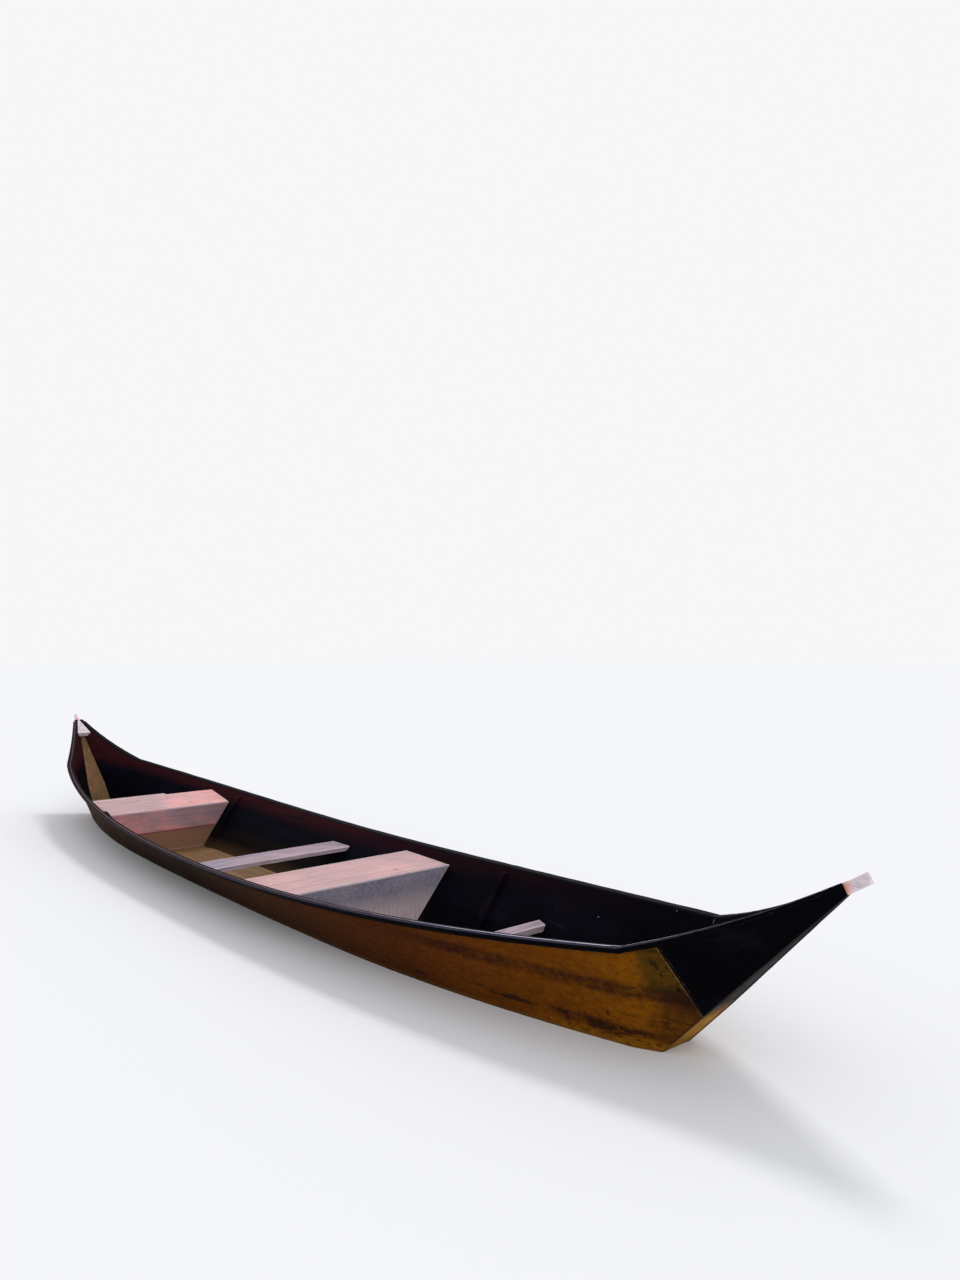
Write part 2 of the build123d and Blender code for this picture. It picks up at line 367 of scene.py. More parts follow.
def ochrePaint():
    # By x: the colour of each length of the side. By place: the marks of the bow's starboard side.
    look = dict(
        dark=(52, 26, 12), pale=(140, 90, 26), stain=(34, 17, 14), black=(10, 8, 9), olive=(58, 44, 10),
        wet=(34, 26, 12), scum=(104, 80, 36), gold=(150, 102, 22), lip=(150, 126, 90), shine=0.01,
        relief=0.0012,
        # The dark run from about x = -1.7 to 0.9 is painted shade of the reeds, and partly dirt too.
        lengths=[(-3.1, (84, 50, 12)), (-1.7, (42, 22, 9)), (-0.15, (28, 15, 8)), (0.9, (62, 35, 16)),
                 (1.92, (80, 37, 8)), (2.3, (96, 49, 7)), (2.75, (106, 57, 6)), (3.1, (122, 72, 6))],
        smear=[(1.6, 0), (1.95, 0.35), (2.2, 1), (2.42, 0.9), (2.56, 0.45), (2.72, 0.85), (3, 1), (3.25, 0.9)],
        blotches=[(2.47, 0.187, 0.16, 0.016, 0), (2.7, 0.188, 0.07, 0.03, 0.3),
                  (2.85, 0.18, 0.12, 0.046, 0.1), (2.98, 0.184, 0.14, 0.022, 0),
                  (2.902, 0.237, 0.008, 0.015, 0), (1.95, 0.164, 0.05, 0.014, 0)],
        scratches=[(3.13, 0.48, 0.011, 0.032, -0.4), (3.121, 0.506, 0.006, 0.009, 0),
                   (3.14, 0.532, 0.016, 0.006, 0), (3.142, 0.44, 0.008, 0.009, 0),
                   (3.134, 0.409, 0.007, 0.007, 0), (3.166, 0.474, 0.005, 0.006, 0),
                   (3.187, 0.393, 0.012, 0.014, -0.6)],
    )
    x, y, z, worn = paintStart("ochrePaint")
    near = fade(y, 0, -0.02)
    cloud = noise((1.6, 1.6, 4), 5)
    mottle = noise((30, 30, 38), 7, 0.74)
    grain = noise((3.5, 30, 110), 6, 0.65)
    fine = noise((110, 110, 260), 4, 0.7)
    blotch = noise((10, 10, 52), 6, 0.72, 0.4)
    ragged = noise((34, 34, 44), 8, 0.8)
    speckle = noise((95, 95, 60), 6, 0.85)
    # Olive high on the starboard side by the prow seam: a painted reflection of the water where the side turns
    # towards the bow.
    olive = times(fade(plus(x, times(mottle, 0.1)), 3.105, 3.145), near, fade(z, 0.335, 0.38))
    drift = stir(z, cloud, 0.03)
    smear = times(band(drift, 0.355, 0.012, 0.02), fade(blotch, 0.4, 0.56), grade(x, look["smear"]),
                  fade(speckle, 0.36, 0.56, 1, 0.55))
    faint = times(band(drift, 0.356, 0.016, 0.03), grade(x, look["smear"]), fade(mottle, 0.3, 0.62, 1, 0.35))
    corner = times(spot(ragged, (3.225, 0.335, 0.15, 0.075, 0.25), 0.95), near)
    fore = plus(minus(x, times(z, 0.42)), times(mottle, 0.06))
    forefoot = times(fade(fore, 2.955, 3.03), near, fade(z, 0.375, 0.355), fade(z, 0.1, 0.17),
                     fade(ragged, 0.38, 0.58, 1, 0.4))
    golden = times(band(z, 0.135, 0.012, 0.018), fade(x, 2.45, 2.8), near, fade(mottle, 0.6, 0.45), 0.6)
    hatch = noise((150, 150, 60), 3, 0.6, 0, (0.3, 0, 0))
    toSeam = seamward(x, z)
    streak = times(fade(noise((5, 5, 45), 6, 0.72, 0.5, (4, 0, 0)), 0.56, 0.64), band(z, 0.21, 0.05, 0.05))
    height = plus(times(grain, 0.6), times(mottle, 0.4))
    return paintEnd(look, fade(mottle, 0.3, 0.8, 0.72, 0.42), height, grade(x, look["lengths"]),
        (fade(cloud, 0.5, 0.68, 0.45), "dark"),
        (fade(mottle, 0.46, 0.66, 0.42), "dark"),
        (fade(grain, 0.5, 0.75, 0.28), "dark"),
        (fade(mottle, 0.44, 0.34, 0.3), fade(x, 1.4, 3), "pale"),
        (fade(fine, 0.6, 0.74, 0.22), "pale"),
        (fade(speckle, 0.5, 0.66, 0.45), "dark"),
        (fade(speckle, 0.45, 0.36, 0.25), fade(x, 1.4, 3), "pale"),
        (olive, fade(mottle, 0.62, 0.45, 0.95, 0.6), "olive"),
        (faint, 0.72, "stain"),
        (smear, 0.62, "stain"),
        (corner, 0.7, "stain"),
        (forefoot, 0.72, "stain"),
        (golden, "gold"),
        *[(spot(ragged, mark, 0.7), near, 0.88, "stain") for mark in look["blotches"]],
        *[(spot(mottle, mark, 0.8), fade(hatch, 0.4, 0.5), near, 0.95, "black") for mark in look["scratches"]],
        (band(toSeam, -0.004, 0.0045, 0.0015), fade(mottle, 0.35, 0.55, 1, 0.85), "black"),
        # A pale lip beside the seam: partly a worn board edge, partly a painted highlight on its raised edge.
        (band(toSeam, -0.0112, 0.0003, 0.0017), fade(ragged, 0.62, 0.42, 0.7, 0.05), fade(z, 0.3, 0.46, 1, 0.5),
         "lip"),
        (streak, 0.6, "stain"),
        (band(z, 0.122, 0.002, 0.005), fade(mottle, 0.35, 0.5), 0.6, "scum"),
        (fade(z, 0.117, 0.1), "wet"),
        (worn, fade(blotch, 0.3, 0.55, 0.9, 0.35), "stain"))


def innerPaint():
    look = dict(
        plain=(6, 6, 12), blue=(12, 12, 23), red=(38, 12, 17), aftRed=(60, 23, 25), rust=(38, 17, 22),
        low=(20, 15, 12), silt=(70, 50, 34), bowLow=(7, 6, 9), speck=(90, 88, 104), gleam=(26, 28, 48),
        rub=(176, 172, 186), shine=0.01, relief=0.001,
        rubs=[(3.0345, 0.521, 0.0035, 0.02, 0.15), (2.809, 0.4986, 0.005, 0.004, 0.15),
              (2.33, 0.355, 0.006, 0.005, 0.15)],
    )
    x, y, z, _ = paintStart("innerPaint")
    cloud = noise((2.2, 2.2, 5), 5)
    grain = noise((2.5, 30, 90), 6, 0.62)
    drip = noise((40, 40, 7), 5, 0.7)
    under = underSheer(x, z)
    red = grade(x, [(-3, look["aftRed"]), (-0.8, look["aftRed"]), (0.6, look["red"]), (3, look["plain"])])
    top = times(fade(under, hull["sheerZ"] - 0.1, hull["sheerZ"] - 0.02), fade(grain, 0.3, 0.6, 1, 0.4))
    well = fade(x, 1, 1.1)
    return paintEnd(look, fade(cloud, 0.3, 0.7, 0.7, 0.45), grain, "plain",
        (fade(cloud, 0.4, 0.65), "blue"),
        (fade(cloud, 0.52, 0.68), fade(drip, 0.46, 0.66), 0.6, "rust"),
        (top, 0.85, red),
        (fade(z, 0.178, 0.166), fade(cloud, 0.3, 0.6, 0.9, 0.35), mix(well, look["low"], look["bowLow"])),
        (fade(z, 0.1, 0.03), 0.8, mix(well, look["silt"], look["bowLow"])),
        (spot(cloud, (2.08, 0.262, 0.11, 0.01, 0.03), 0.9), fade(y, 0, 0.02), "gleam"),
        (fade(drip, 0.7, 0.78, 0.4), "speck"),
        *[(spot(drip, mark, 0.9), fade(y, 0, 0.02), 0.9, "rub") for mark in look["rubs"]])


def edgePaint():
    # Upper edge of the planking: black on the port side; on the starboard side a pale line, a painted highlight
    # of the sky on the glossy inner arris, whose place through the board and whose strength change along the
    # boat.
    look = dict(
        dark=(12, 10, 16), chipped=(44, 38, 48), shine=0.02, relief=0.0006,
        lengths=[(-3.1, (90, 66, 68)), (-1, (104, 80, 84)), (0.8, (92, 76, 82)), (1.8, (120, 108, 120)),
                 (2.1, (170, 160, 178)), (2.6, (200, 192, 212)), (3.05, (228, 220, 236)),
                 (3.1, (248, 242, 255)), (3.2, (236, 230, 244)), (3.3, (200, 194, 208)),
                 (3.42, (156, 150, 162)), (3.54, (84, 80, 92)), (3.7, (20, 18, 24))],
        places=[(-3.1, 0.24), (1.8, 0.2), (2.4, 0.06), (2.98, 0.03), (3.08, 0.46), (3.7, 0.6)],
        widths=[(-3.1, 0.14), (1.7, 0.14), (2.2, 0.07), (3, 0.065), (3.1, 0.09), (3.7, 0.09)],
    )
    x, y, _, _ = paintStart("edgePaint")
    across = attribute("across")
    chip = noise((9, 60, 60), 6, 0.7)
    fine = noise((120, 120, 120), 4, 0.7)
    # The pale line is a painted highlight, broken by chips.
    line = mix(fade(chip, 0.57, 0.68, 0.7), grade(x, look["lengths"]), look["chipped"])
    line = mix(fade(fine, 0.56, 0.72, 0.3), line, look["chipped"])
    away = minus(across, stir(grade(x, look["places"]), chip, 0.12))
    shown = times(band(calc("DIVIDE", away, grade(x, look["widths"])), 0, 1, 1), fade(y, 0, -0.005))
    return paintEnd(look, fade(chip, 0.3, 0.7, 0.7, 0.4), fine, mix(shown, look["dark"], line))


def blackPaint():
    look = dict(
        plain=(5, 5, 8), grey=(16, 16, 23), worn=(110, 102, 120), rust=(40, 18, 18), shine=0.01, relief=0.0012,
    )
    _, _, _, worn = paintStart("blackPaint")
    cloud = noise((4, 8, 9), 6, 0.6)
    grain = noise((5, 60, 90), 6, 0.62)
    chip = noise((22, 60, 60), 5, 0.7)
    height = plus(times(grain, 0.5), times(chip, 0.5))
    return paintEnd(look, fade(cloud, 0.3, 0.7, 0.62, 0.38), height, "plain",
        (fade(cloud, 0.55, 0.72, 0.55), "grey"),
        (worn, fade(chip, 0.6, 0.72, 0.35), "worn"),
        (worn, fade(chip, 0.5, 0.36, 0.7), "rust"))


def railTopPaint():
    # Upper face of the rails: black on the port side; on the starboard side black by the planks and a painted
    # navy highlight of the sky at the outer arris, browner aft.
    look = dict(
        port=(7, 6, 10), navySheen=(52, 48, 66), brown=(44, 30, 32), deep=(14, 12, 18), pale=(92, 86, 104),
        crack=(8, 6, 8), shine=0.02, relief=0.001,
    )
    x, y, _, _ = paintStart("railTopPaint")
    across = attribute("across")
    chip = noise((30, 60, 60), 6, 0.7)
    grain = noise((6, 90, 120), 6, 0.65)
    # Painted highlight: the navy sheen along the outer arris, browner aft.
    top = mix(fade(x, 0.8, -0.6), look["navySheen"], look["brown"])
    top = mix(fade(across, 0.25, 0.6), top, look["deep"])
    return paintEnd(look, fade(chip, 0.3, 0.7, 0.7, 0.4), grain, "port",
        (fade(y, 0, -0.02), top),
        (fade(chip, 0.56, 0.7, 0.5), fade(y, 0, -0.02), "pale"),
        (fade(grain, 0.52, 0.72, 0.8), "crack"))


def bottomPaint():
    look = dict(
        plain=(138, 100, 68), dark=(78, 54, 36), olive=(112, 88, 56), pale=(176, 146, 112), red=(120, 66, 44),
        shine=0.15, relief=0.0016,
    )
    _, _, _, worn = paintStart("bottomPaint")
    cloud = noise((2.4, 5, 5), 6, 0.62)
    grain = noise((3, 70, 70), 6, 0.62)
    silt = noise((9, 9, 9), 6, 0.7)
    return paintEnd(look, fade(cloud, 0.3, 0.7, 0.7, 0.35), grain, "plain",
        (fade(cloud, 0.4, 0.62), "olive"),
        (fade(cloud, 0.42, 0.3), 0.6, "red"),
        (fade(grain, 0.42, 0.72, 0.8), "dark"),
        (fade(silt, 0.56, 0.72, 0.4), "pale"),
        (worn, fade(silt, 0.45, 0.6, 0.8, 0.2), "dark"))


def rakePaint():
    # Underside of the ramps: ochre near the waterline, then smeared, then almost black to the stem.
    look = dict(
        dark=(44, 30, 18), pale=(164, 124, 60), shine=0.03, relief=0.0014,
        heights=[(0, (40, 30, 18)), (0.11, (66, 48, 22)), (0.13, (140, 98, 22)), (0.2, (160, 113, 24)),
                 (0.26, (160, 112, 26)), (0.3, (106, 74, 24)), (0.35, (38, 28, 16)), (0.4, (30, 28, 26)),
                 (0.46, (40, 34, 35)), (0.53, (32, 24, 30)), (0.62, (10, 8, 10)), (0.74, (6, 5, 7))],
    )
    _, _, z, _ = paintStart("rakePaint")
    silt = noise((14, 14, 14), 6, 0.7)
    grain = noise((22, 80, 22), 6, 0.65)
    drift = stir(z, silt, 0.1)
    return paintEnd(look, fade(silt, 0.3, 0.7, 0.75, 0.45), grain, grade(drift, look["heights"]),
        (fade(grain, 0.46, 0.7, 0.6), "dark"),
        # Pale flecks low on the underside: painted glints of light reflected up from the water.
        (fade(silt, 0.53, 0.66, 0.6), fade(z, 0.36, 0.3), "pale"))


def seatPaint():
    look = dict(
        plain=(214, 170, 170), grey=(188, 160, 160), rosy=(234, 166, 164), dark=(132, 98, 98),
        bare=(170, 126, 112), pale=(230, 208, 208), dust=(206, 188, 190), knot=(120, 82, 76), shine=0.08,
        relief=0.0016,
        knots=[(0.71, -0.18, 0.012, 0.02, 0.1), (0.93, 0.24, 0.016, 0.024, -0.1), (0.83, 0.44, 0.009, 0.016, 0),
               (0.66, 0.11, 0.008, 0.013, 0.2), (-1.72, 0.2, 0.012, 0.02, 0), (-1.87, -0.16, 0.01, 0.017, 0)],
    )
    x, y, _, worn = paintStart("seatPaint")
    cloud = noise((2.4, 2, 3), 6, 0.6)
    grain = noise((75, 3.2, 75), 7, 0.66)
    fine = noise((240, 10, 240), 4, 0.6)
    patch = noise((8, 5, 8), 7, 0.72, 0.6)
    aft = times(fade(plus(cloud, times(y, 0.35)), 0.46, 0.62), fade(x, 0, -1), 0.85)
    height = plus(times(grain, 0.7), times(fine, 0.3))
    return paintEnd(look, fade(patch, 0.3, 0.7, 0.85, 0.55), height, "grey",
        (fade(cloud, 0.38, 0.64), "plain"),
        (aft, "rosy"),
        (fade(grain, 0.5, 0.72, 0.7), "dark"),
        (fade(fine, 0.6, 0.8, 0.3), "bare"),
        (fade(patch, 0.6, 0.68, 0.5), "dust"),
        (fade(patch, 0.37, 0.31, 0.45), "bare"),
        *[(spot(patch, mark, 0.9, True), 0.6, "knot") for mark in look["knots"]],
        (worn, fade(patch, 0.4, 0.55, 0.85, 0.2), "pale"))


def seatFrontPaint():
    # Fronts of the box seats: slate forward, which is the tops' mauve paint in painted shade; rosy aft, a
    # painted patch of sun low with painted shade above it and towards port. Water marks at the foot of the aft
    # one; a lighter, streaked foot on the fore one is painted light.
    look = dict(
        slate=(138, 133, 148), blue=(118, 117, 136), mauve=(156, 126, 132), rosy=(204, 138, 138),
        dark=(84, 74, 80), low=(196, 176, 178), streak=(218, 204, 202), brown=(128, 96, 78), line=(96, 40, 34),
        silt=(112, 84, 56), pale=(186, 166, 172), fleck=(236, 224, 228), shine=0.08, relief=0.0012,
    )
    x, y, z, worn = paintStart("seatFrontPaint")
    cloud = noise((3, 3.4, 6), 6, 0.62)
    grain = noise((70, 3, 80), 6, 0.62)
    streaks = noise((120, 120, 7), 6, 0.75)
    aft = fade(x, 0.2, -0.6)
    # Painted shade: slate and blue stand for the tops' mauve paint out of the sun.
    front = mix(fade(cloud, 0.4, 0.62), look["slate"], look["blue"])
    rise = times(minus(z, 0.26), 0.9)
    # Painted sun and shade on the aft front: rosy low where the sun falls, mauve higher in shade.
    back = mix(fade(plus(plus(cloud, rise), times(y, 0.12)), 0.4, 0.56), look["rosy"], look["mauve"])
    speckle = noise((130, 130, 55), 5, 0.85)
    drift = stir(z, streaks, 0.12)
    # Painted light: the fore front's foot, lighter and streaked.
    litFoot = times(fade(drift, 0.245, 0.135), fade(x, 0.2, 0.6))
    fleck = times(fade(y, 0.52, 0.528), fade(z, 0.314, 0.32), fade(x, 0.9, 1))
    height = plus(times(grain, 0.6), times(streaks, 0.4))
    return paintEnd(look, fade(cloud, 0.3, 0.7, 0.8, 0.5), height, front,
        (aft, back),
        # Painted shade: the aft front darker towards port.
        (aft, fade(y, 0.05, 0.4), 0.35, "dark"),
        (fade(grain, 0.5, 0.72, 0.45), fade(x, 0.6, -0.6, 1, 0.35), "dark"),
        (fade(speckle, 0.5, 0.66, 0.55), fade(x, 0.2, 0.6, 1, 0.35), "dark"),
        (fade(speckle, 0.46, 0.34, 0.5), fade(x, 0.2, 0.6, 1, 0.3), "low"),
        (litFoot, 0.75, "low"),
        (litFoot, fade(streaks, 0.52, 0.66), 0.8, "streak"),
        (litFoot, fade(streaks, 0.46, 0.36), 0.6, "brown"),
        (fade(z, 0.168, 0.158), aft, 0.85, "silt"),
        (band(z, 0.168, 0.004, 0.006), aft, 0.8, "line"),
        (worn, fade(cloud, 0.3, 0.5, 0.8, 0.3), "pale"),
        (fleck, "fleck"))


def thwartPaint():
    look = dict(
        plain=(176, 152, 160), grey=(146, 136, 150), blue=(128, 140, 170), pale=(206, 190, 198),
        dark=(96, 78, 84), shine=0.08, relief=0.0015,
    )
    x, y, _, worn = paintStart("thwartPaint")
    cloud = noise((5, 3, 5), 6, 0.62)
    grain = noise((90, 4, 90), 6, 0.66)
    # Painted reflection of the sky: a blue cast over the starboard end of the thwart.
    skyReflection = times(fade(plus(y, times(cloud, 0.3)), 0, -0.25), fade(x, 0.5, 0.1))
    return paintEnd(look, fade(cloud, 0.3, 0.7, 0.75, 0.5), grain, "plain",
        (fade(cloud, 0.4, 0.62), "grey"),
        (skyReflection, 0.3, "blue"),
        (fade(grain, 0.47, 0.68, 0.75), "dark"),
        (fade(grain, 0.44, 0.32, 0.5), "pale"),
        (worn, fade(cloud, 0.35, 0.55, 1, 0.3), "pale"))


def stemWood():
    look = dict(
        plain=(222, 208, 214), grey=(198, 184, 192), stain=(232, 158, 136), dark=(150, 124, 122),
        pale=(238, 228, 232), shine=0.08, relief=0.001,
    )
    x, _, _, worn = paintStart("stemWood")
    cloud = noise((16, 40, 40), 5, 0.6)
    grain = noise((14, 160, 160), 6, 0.6)
    away = stir(calc("ABSOLUTE", x), cloud, 0.1)
    return paintEnd(look, 0.75, grain, "plain",
        (fade(cloud, 0.42, 0.6), "grey"),
        (fade(away, 3.752, 3.728), band(calc("ABSOLUTE", x), 3.735, 0.016, 0.02), 0.9, "stain"),
        (fade(grain, 0.55, 0.75, 0.6), "dark"),
        (worn, 0.5, "pale"))


def ironNail():
    look = dict(plain=(30, 20, 17), rust=(62, 33, 20), shine=0.03, relief=0.0003)
    paintStart("ironNail")
    specks = noise((300, 300, 300), 3)
    return paintEnd(look, fade(specks, 0.3, 0.7, 0.8, 0.5), specks, mix(specks, look["plain"], look["rust"]))


def pitch():
    look = dict(plain=(14, 12, 11), pale=(62, 50, 40), shine=0.03, relief=0.001)
    paintStart("pitch")
    specks = noise((45, 45, 45), 5, 0.75)
    return paintEnd(look, fade(specks, 0.3, 0.7, 0.7, 0.4), specks,
                    mix(fade(specks, 0.5, 0.62), look["plain"], look["pale"]))


paints = dict(
    ochre=ochrePaint(), inner=innerPaint(), black=blackPaint(), railTop=railTopPaint(), edge=edgePaint(),
    bottom=bottomPaint(), rake=rakePaint(), seat=seatPaint(), front=seatFrontPaint(), thwart=thwartPaint(),
    stem=stemWood(), nail=ironNail(), pitch=pitch(),
)
print("paints mixed:", len(paints))


def finish(made, slot, *nodes):
    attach(made, "root")
    if nodes:
        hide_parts(*nodes)


def planed(node, slot, *shape):
    finish(addMesh("planed_" + node, *shape), slot, node)


def skinBoard(how, node, slot, v, shares, depths, ring, flip, seed, use, kinds=(0, 0, 0, 0), uneven=0.0006,
              inset=0.0015, square=True):
    # A board that follows the planking: its section runs across by shares of the height (from, to) and
    # in from the outer face by depths (from, to), each a number or a row of numbers along v.
    f, e, g, h, wear, face = ring
    rows = doubled(v)[:, None]
    low, high, d0, d1 = (doubled(np.broadcast_to(k, v.shape))[:, None] for k in (*shares, *depths))
    _, _, height = skin(rows, low)
    t = low + (high - low) * f + (e + wave(rows * 3, uneven, seed) * (wear > 0)) / height
    t = np.clip(t, 0, 1)
    depth = d0 + (d1 - d0) * g + h + wave(rows * 3 + 7, uneven * 0.7, seed + 1) * (g == 0) * (wear == 0)
    point, wall, _ = skin(np.broadcast_to(rows, t.shape), t)
    point[..., 1] -= depth * (wall / plank if square else 1)
    apart = 0.0004  # half the gap where port and starboard meet at the stem
    point[..., 1] = np.where(np.abs(rows) > 2, np.maximum(point[..., 1], apart), point[..., 1])
    made = addMesh(how + node, point * np.array([*flip, 1]), wear, use, inset, np.array(kinds)[face], across=g)
    finish(made, slot, node)


# Side boards: a middle board and two end boards a side, with a tapering sheer board over each end board.
sides = dict(round=0.0025, arris=0.005, seam=0.0008, kinds=(0, 2, 1, 0), stations=90, endStations=64,
             rootStations=12)
r, arris, tight = sides["round"], sides["arris"], sides["seam"]
lowerRing = roundedRing([r, tight, tight, r], worn=(0.6, 0.15, 0.15, 0.6))
sheerRing = roundedRing([tight, r, arris, tight], owners=(0, 1, 1, 2), worn=(0.15, 0.6, 1.0, 0.15))
midRing = roundedRing([r, r, arris, r], owners=(0, 1, 1, 2))
sidePaints = ("ochre", "inner", "edge")
through = (0, plank)
v = np.linspace(-butt, butt, sides["stations"])
for side, sy in bothSides:
    skinBoard("planked_", "side_board_mid_" + side, "ochre_paint", v, (0, 1), through, midRing, (1, sy),
              11 + sy, sidePaints, sides["kinds"])
v = twoRuns(butt, 1, sides["endStations"], 2, sides["rootStations"])
seamShare = shareAt(v, hull["sheerBoardZ"])
for end, side, sx, sy in quarters:
    for board, shares, ring, seed in (("side", (0, seamShare), lowerRing, 20),
                                      ("sheer", (seamShare, 1), sheerRing, 29)):
        skinBoard("planked_", f"{board}_board_{end}_{side}", "ochre_paint", v, shares, through, ring, (sx, sy),
                  seed + sx * 3 + sy, sidePaints, sides["kinds"])
print("side boards planked")

# Prow boards: one flat black board beyond each slanting seam.
prow = dict(round=0.002, arris=0.004, stations=60, cuts=(12, 2, 12, 2))
r, arris = prow["round"], prow["arris"]
prowRing = roundedRing([r, r, arris, r], prow["cuts"], owners=(0, 1, 1, 2))
v = np.linspace(2, 3, prow["stations"])
for end, side, sx, sy in quarters:
    skinBoard("planked_", f"prow_board_{end}_{side}", "black_paint", v, (0, 1), through, prowRing, (sx, sy),
              40 + sx * 3 + sy, ("black", *sidePaints[1:]), sides["kinds"])
print("prow boards planked")

# Rub rails: a rounded batten under the edge of the gunwale, which thins along the prow.
rail = dict(
    proud=0.021, deep=0.038, kneeDeep=0.028, step=0.0012, tipProud=0.010, tipDeep=0.018,
    round=(0.006, 0.0035, 0.001, 0.001), stations=120, rootStations=14, kneeV=0.9995, prowV=1.004, endV=2.955,
)
railRing = roundedRing(rail["round"], (3, 3, 3, 2), 5, (0, 1, 1, 0))


def railBoard(node, v, flip, seed):
    _, _, height = skin(v, np.ones_like(v))
    tip, taper = np.clip(np.abs(v) - 2, 0, 1), np.clip((np.abs(v) - butt) / (1 - butt), 0, 1)
    deep = along(along(rail["deep"], rail["kneeDeep"], taper), rail["tipDeep"], tip)
    proud = along(rail["proud"], rail["tipProud"], tip)
    skinBoard("rounded_", node, "black_paint", v, (1 - deep / height, 1 - rail["step"] / height), (-proud, 0.0),
              railRing, flip, seed, ("black", "railTop"), (0, 1, 0, 0), 0.0007, square=False)


for side, sy in bothSides:
    railBoard("rub_rail_mid_" + side, np.linspace(-butt, butt, rail["stations"]), (1, sy), 61 + sy)
half = rail["stations"] // 2
for end, side, sx, sy in quarters:
    v = np.linspace(butt, rail["kneeV"], half)
    railBoard(f"rub_rail_{end}_{side}", v, (sx, sy), 70 + sx * 3 + sy)
    v = twoRuns(rail["prowV"], 2, rail["rootStations"], rail["endV"], half)
    railBoard(f"prow_rail_{end}_{side}", v, (sx, sy), 80 + sx * 3 + sy)
print("rails bent on")

# Butt ribs: a short upright inside each butt.
rib = dict(wide=0.044, deep=0.022, footShare=0.062, below=0.034, round=0.004, inset=0.003, stations=8)
ribRing = roundedRing([rib["round"]] * 4, (4, 1, 4, 1), 3)
half = rib["wide"] / 2 / kneeX
v = np.linspace(butt - half, butt + half, rib["stations"])
ribTop = 1 - rib["below"] / skin(v, np.ones_like(v))[2]
for end, side, sx, sy in quarters:
    skinBoard("planed_", f"butt_rib_{end}_{side}", "black_paint", v, (rib["footShare"], ribTop),
              (plank, plank + rib["deep"]), ribRing, (sx, sy), 90 + sx * 3 + sy, ("inner",),
              inset=rib["inset"])

# Boards across the boat, ending on the planks' flare.
crossing = dict(cuts=26, gap=0.0008, chamfer=0.0015, nearEnd=0.988, endWear=0.8)


def crossBoard(node, slot, paint, seed, *measures, y1=None):
    # A board's section is carried from side to side, y = share * innerHalf(x, z). With y1 it ends there
    # instead on the port side.
    xs, zs, wear = boardSection(*measures)
    half, last = innerHalf(xs, zs, crossing["gap"]), crossing["nearEnd"]
    share = np.concatenate([[-1, -1, -last], np.linspace(-1, 1, crossing["cuts"])[1:-1], [last, 1, 1]])[:, None]
    y = along(-half, half if y1 is None else y1, (share + 1) / 2)
    x, z = xs + wave(y * 3, 0.0006, seed) * (wear > 0), zs + wave(y * 2.3 + 3, 0.0007, seed + 1)
    wear = np.where(np.abs(share) == 1, crossing["endWear"], wear)
    planed(node, slot, np.stack([x, y, z], -1), wear, (paint,), crossing["chamfer"])


def boardSection(aft, fore, top, low, radius, cuts=8, arc=4):
    # A board's section in x and z, low aft first and round by the top, with rounded arrises. Top and low are
    # one height, or one aft and one forward.
    (topAft, topFore), (lowAft, lowFore) = (np.broadcast_to(k, 2) for k in (top, low))
    corners = np.array([(aft, lowAft), (aft, topAft), (fore, topFore), (fore, lowFore)])
    turn = np.linspace(0, math.pi / 2, arc + 1)[:, None]
    clear, wide, part = 0.003, 0.06, 2.2  # past a rounding; a face worth cutting up; a side over its rounding
    points, wear = [], []
    for i, here in enumerate(corners):
        a, b = corners[i - 1] - here, corners[(i + 1) % 4] - here
        la, lb = np.linalg.norm(a), np.linalg.norm(b)
        a, b, r = a / la, b / lb, min(radius, la / part, lb / part)
        start, stop = here + b * (r + clear), corners[(i + 1) % 4] - b * (min(radius, lb / part) + clear)
        straight = np.linspace(0, 1, (cuts if lb > wide else 1) + 1)[:, None]
        points += [here + a * r * (1 - np.sin(turn)) + b * r * (1 - np.cos(turn)), along(start, stop, straight)]
        wear += [1.0] * len(turn) + [0.0] * len(straight)
    return *np.concatenate(points).T, np.array(wear)


# Box seats: a top, a front board that stands up to the top's surface, and a back board.
seats = dict(
    fore_seat=dict(aft=0.589, fore=1.044, zAft=0.327, zFore=0.327),
    aft_seat=dict(aft=-1.931, fore=-1.631, zAft=0.390, zFore=0.330),
)
seatMake = dict(thick=0.024, panel=0.020, floor=0.024, round=0.0035, backRound=0.002, gap=0.0006)
thick, panel, foot = seatMake["thick"], seatMake["panel"], seatMake["floor"]
for key, at in seats.items():
    slope = (at["zFore"] - at["zAft"]) / (at["fore"] - at["aft"])
    joinX, joinZ = at["fore"] - panel, at["zFore"] - slope * panel
    top, under = np.array([at["zAft"], joinZ]), at["zAft"] - thick
    crossBoard(key + "_top", "mauve_paint", "seat", 101, at["aft"], joinX - seatMake["gap"], top, top - thick,
               seatMake["round"], 14)
    crossBoard(key + "_front", "grey_paint", "front", 105, joinX, at["fore"], (joinZ, at["zFore"]), foot,
               seatMake["round"], 10)
    crossBoard(key + "_back", "grey_paint", "front", 109, at["aft"], at["aft"] + panel,
               (under, under + slope * panel), foot, seatMake["backRound"], 10)
edgeBoard = dict(aft=-1.991, fore=-1.932, top=0.390, low=0.366, radius=0.003, cuts=4)
crossBoard("aft_seat_edge_board", "mauve_paint", "seat", 113, *edgeBoard.values(), y1=0.095)
print("seats boxed in")

